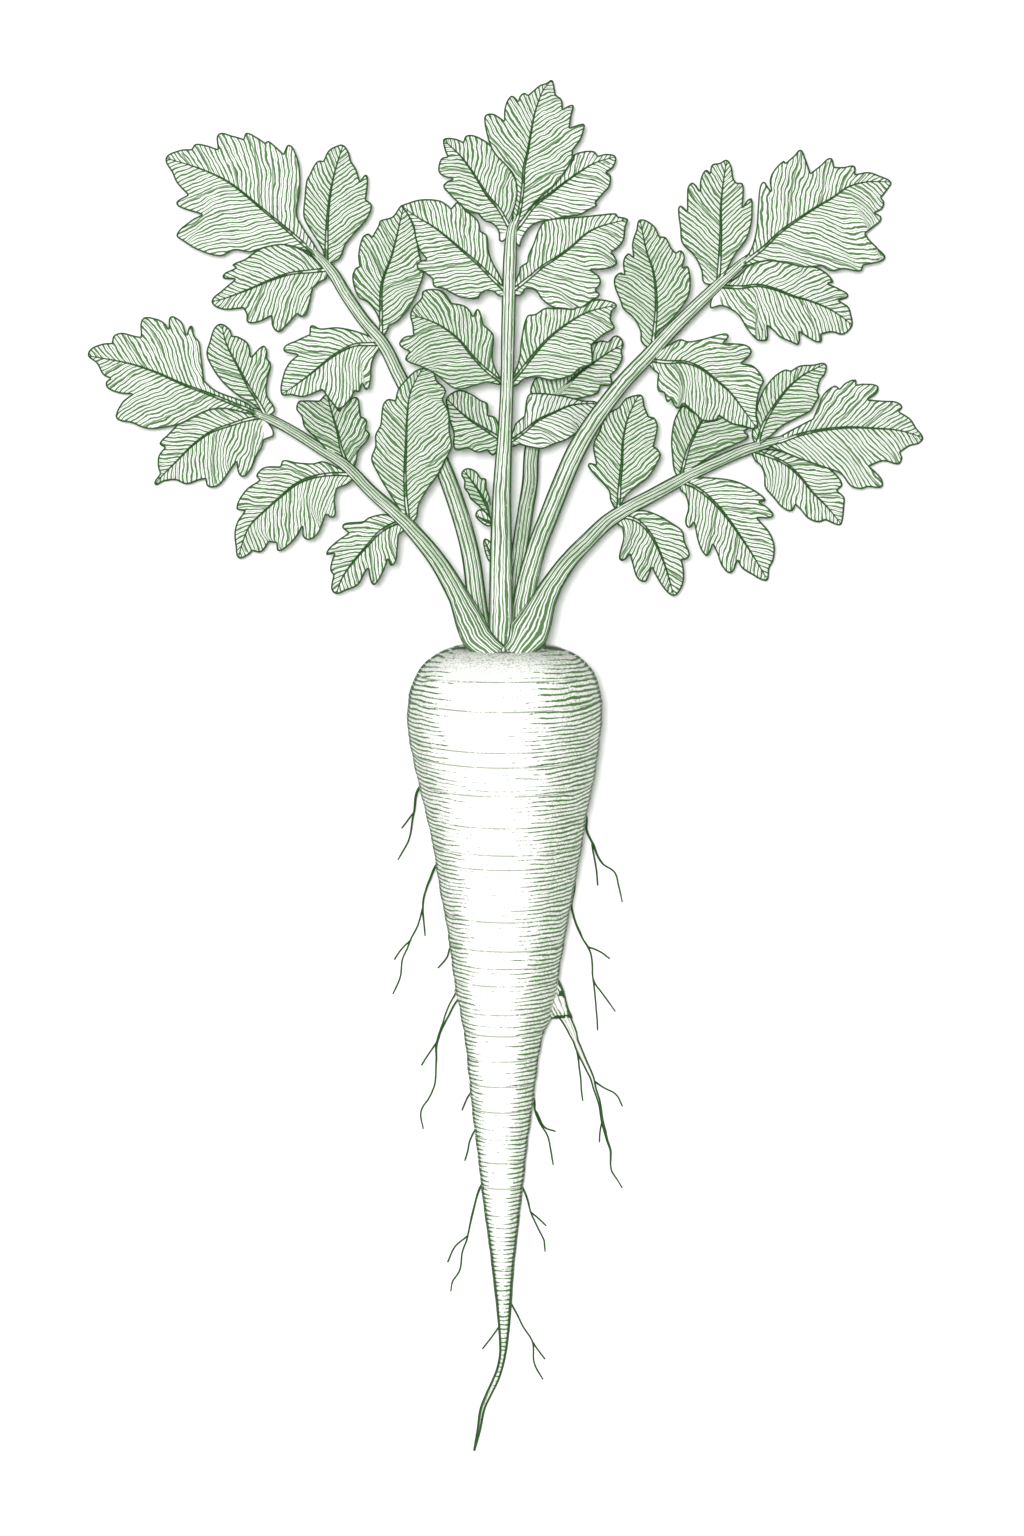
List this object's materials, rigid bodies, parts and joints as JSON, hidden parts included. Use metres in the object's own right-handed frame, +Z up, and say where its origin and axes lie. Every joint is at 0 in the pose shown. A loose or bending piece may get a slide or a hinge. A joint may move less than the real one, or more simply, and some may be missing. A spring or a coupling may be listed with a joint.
{
  "type": "parsnip with leaves",
  "caption": "Freshly dug parsnip lying on its side: a tapering ivory taproot with fine rootlets and a side root, and a crown of toothed compound green leaves.",
  "frame": {"origin": "centre of the flat spot that the root rests on, at the table", "axes": "+X across the root, +Y from the tail towards the leaf tips, +Z up from the table"},
  "size_m": [0.2343, 0.3845, 0.0542],
  "materials": {
    "root_skin": "matte",
    "leaf_green": "satin",
    "leaf_shaded": "satin"
  },
  "bodies": {
    "root": {"taproot": "root_skin", "leaf_centre": "leaf_green", "leaf_upper_left": "leaf_green", "leaf_lower_left": "leaf_green", "leaf_upper_right": "leaf_green", "leaf_lower_right": "leaf_green", "leaf_back": "leaf_shaded", "leaf_young": "leaf_shaded"}
  },
  "joints": []
}
